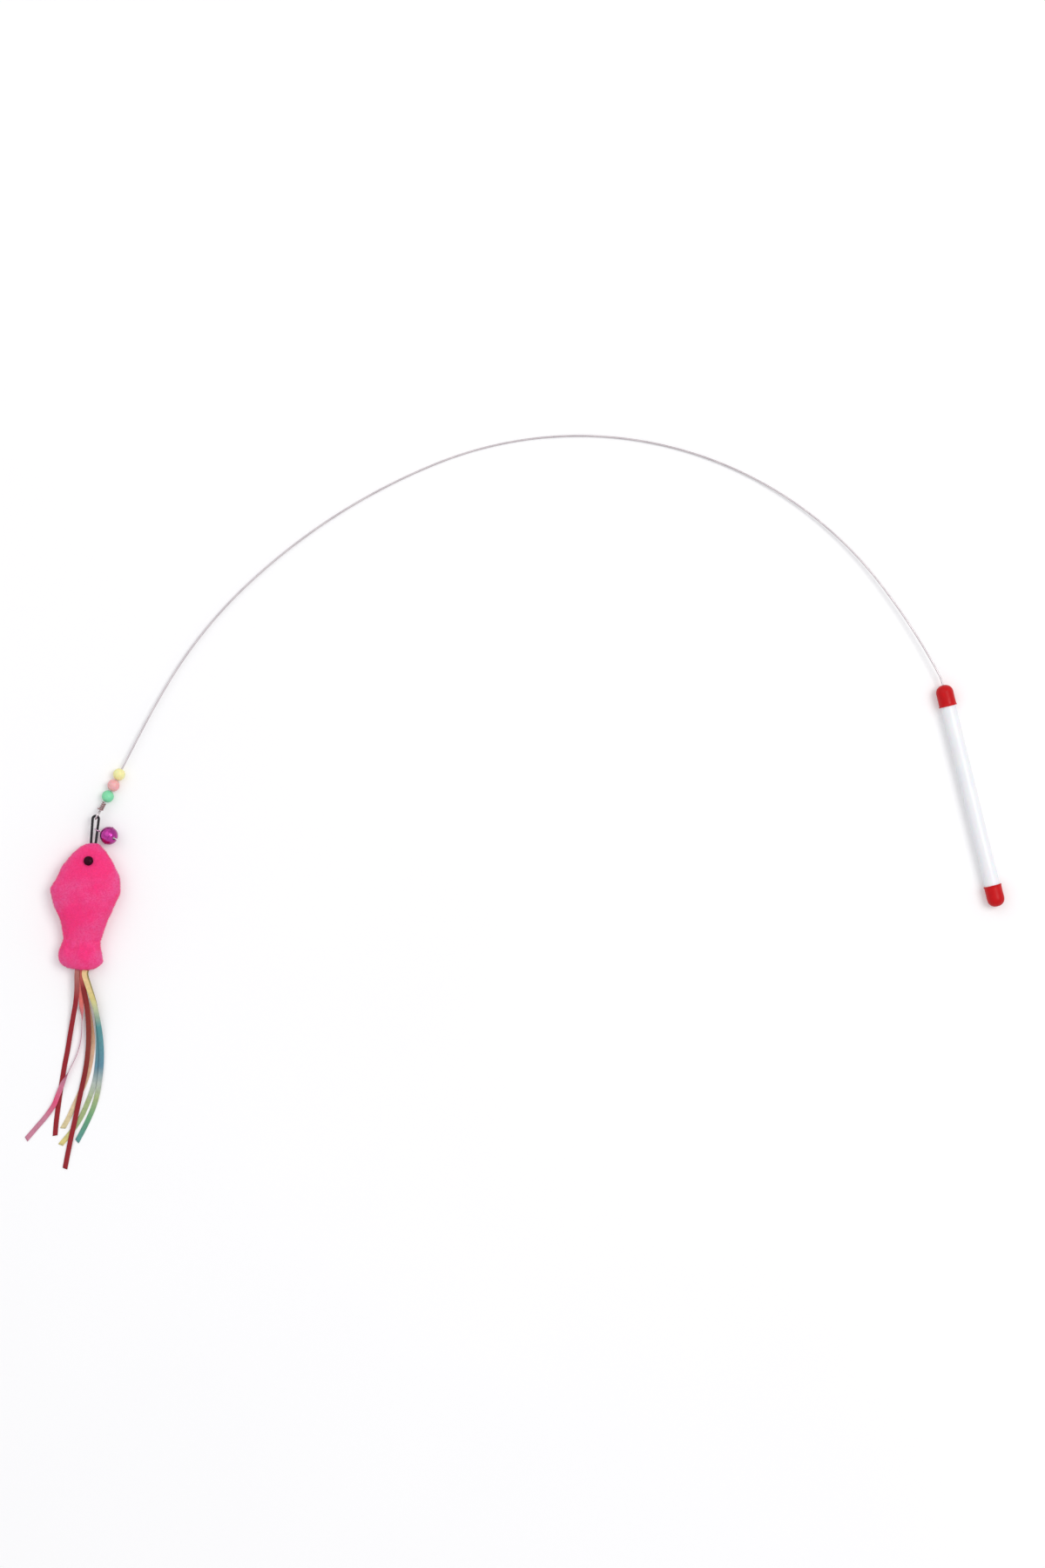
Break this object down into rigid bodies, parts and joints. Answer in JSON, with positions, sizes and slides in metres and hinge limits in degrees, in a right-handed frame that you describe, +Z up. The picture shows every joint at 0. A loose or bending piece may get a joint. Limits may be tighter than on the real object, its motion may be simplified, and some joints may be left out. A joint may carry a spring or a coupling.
{
  "type": "cat teaser wand",
  "caption": "Cat teaser wand with a capped tube handle, a long bowed spring wire, beads near its tip, and an elastic loop with a bell and a stuffed fish with ribbons.",
  "frame": {"origin": "on the handle's axis at the middle of the straight band of its rear cap; the wand lies on a flat surface 6.3 mm below", "axes": "+Y along the handle from the rear cap to the wire, +Z up from the surface that the wand lies on, and the wire bows over towards -X"},
  "size_m": [0.6964, 0.4147, 0.02],
  "materials": {
    "white_plastic": "satin extruded tube",
    "red_plastic": "moulded, soft sheen",
    "plug_plastic": "plain",
    "wire_steel": "drawn, faint copper tone",
    "wrap_wire": "brown lacquered wire",
    "yellow_bead": "smooth matte",
    "pink_bead": "smooth matte",
    "green_bead": "smooth matte",
    "black_elastic": "braided cover",
    "purple_metal": "metallic lacquer, bright",
    "bright_wire": "bright",
    "pellet_steel": "plain",
    "pink_plush": "short pile plush",
    "white_fill": "fibre filling",
    "black_eye": "glossy",
    "tack_thread": "stitched ribbon ends",
    "red_ribbon": "satin",
    "pink_ribbon": "satin",
    "cream_ribbon": "satin",
    "rainbow_ribbon": "printed satin"
  },
  "bodies": {
    "wand": {"handle_tube": "white_plastic", "front_cap": "red_plastic", "rear_cap": "red_plastic", "wire_plug": "plug_plastic", "spring_wire": "wire_steel", "tip_wrap": "wrap_wire"},
    "yellow_bead": {"bead_yellow": "yellow_bead"},
    "pink_bead": {"bead_pink": "pink_bead"},
    "green_bead": {"bead_green": "green_bead"},
    "loop": {"elastic_loop": "black_elastic"},
    "bell": {"bell_upper_cup": "purple_metal", "bell_lower_cup": "purple_metal", "bell_hanger": "bright_wire"},
    "pellet": {"bell_pellet": "pellet_steel"},
    "fish": {"fish_upper_panel": "pink_plush", "fish_lower_panel": "pink_plush", "fish_stuffing": "white_fill", "fish_tail": "pink_plush", "fish_eye_upper": "black_eye", "fish_eye_lower": "black_eye", "ribbon_tack": "tack_thread", "ribbon_red_left": "red_ribbon", "ribbon_pink": "pink_ribbon", "ribbon_red_right": "red_ribbon", "ribbon_cream": "cream_ribbon", "ribbon_rainbow_right": "rainbow_ribbon", "ribbon_rainbow_left": "rainbow_ribbon"}
  },
  "joints": [
    {"name": "yellow_bead_spin", "type": "hinge", "parent": "wand", "child": "yellow_bead", "pos_m": [-0.56593, 0.2242, -0.0021], "axis": [-0.6561, -0.7545, 0.0174], "continuous": true},
    {"name": "pink_bead_spin", "type": "hinge", "parent": "wand", "child": "pink_bead", "pos_m": [-0.5715, 0.21778, -0.00195], "axis": [-0.6561, -0.7545, 0.0174], "continuous": true},
    {"name": "green_bead_spin", "type": "hinge", "parent": "wand", "child": "green_bead", "pos_m": [-0.57708, 0.21137, -0.0018], "axis": [-0.6561, -0.7545, 0.0174], "continuous": true},
    {"name": "loop_swing", "type": "hinge", "parent": "wand", "child": "loop", "pos_m": [-0.58859, 0.1982, 0.0013], "axis": [-0.0019, -0.0053, 1], "range_deg": [-95, 60]},
    {"name": "fish_nod", "type": "hinge", "parent": "loop", "child": "fish", "pos_m": [-0.59443, 0.1817, 0.0012], "axis": [0.9426, -0.3338, 0], "range_deg": [-30, 30]},
    {"name": "bell_swing", "type": "hinge", "parent": "loop", "child": "bell", "pos_m": [-0.58935, 0.19041, 0.00126], "axis": [-0.36, -0.9329, -0.0056], "range_deg": [-60, 60]},
    {"name": "pellet_rattle", "type": "slide", "parent": "bell", "child": "pellet", "axis": [0, 0, 1], "range_m": [0, 0.008]}
  ]
}
